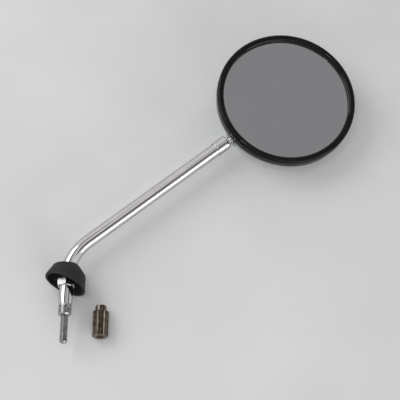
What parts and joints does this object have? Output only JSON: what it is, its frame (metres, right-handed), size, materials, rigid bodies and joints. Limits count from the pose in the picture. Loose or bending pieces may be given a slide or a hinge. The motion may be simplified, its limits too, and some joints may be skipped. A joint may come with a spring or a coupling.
{
  "type": "scooter mirror",
  "caption": "Round scooter mirror with a black rim and a domed chrome shell on a ball joint, a bent chrome stem, a rubber boot and a threaded mounting stud.",
  "frame": {"origin": "centre of the shoulder where the mounting stud leaves the shank", "axes": "-Y along the stud, away from the mirror; +X towards the side the stem leans to; +Z out of the glass's side, up from the surface that the mirror lies on"},
  "size_m": [0.2527, 0.2704, 0.0396],
  "materials": {
    "chrome": "polished chrome plate",
    "zinc_steel": "zinc plated thread",
    "spring_steel": "plain spring steel",
    "boot_rubber": "moulded rubber",
    "nylon": "natural nylon",
    "foam": "closed cell foam",
    "mirror": "silvered glass",
    "rim_black": "gloss black"
  },
  "bodies": {
    "stem": {"stem_rod": "chrome", "mounting_stud": "zinc_steel", "spanner_collar": "chrome", "rubber_boot": "boot_rubber", "long_nut": "chrome", "joint_cap": "chrome", "friction_washer": "spring_steel"},
    "seat": {"ball_seat": "nylon"},
    "head": {"ball_pin": "chrome", "pin_washer": "spring_steel", "pin_nut": "zinc_steel", "mirror_shell": "chrome", "glass_pad": "foam", "mirror_glass": "mirror", "rim_trim": "rim_black"}
  },
  "joints": [
    {"name": "head_swivel", "type": "hinge", "parent": "stem", "child": "seat", "pos_m": [0.12346, 0.15077, 0], "axis": [0.7716, 0.6361, 0], "continuous": true},
    {"name": "head_tilt", "type": "hinge", "parent": "seat", "child": "head", "pos_m": [0.12346, 0.15077, 0], "axis": [0.6361, -0.7716, 0], "range_deg": [-12, 12]}
  ]
}
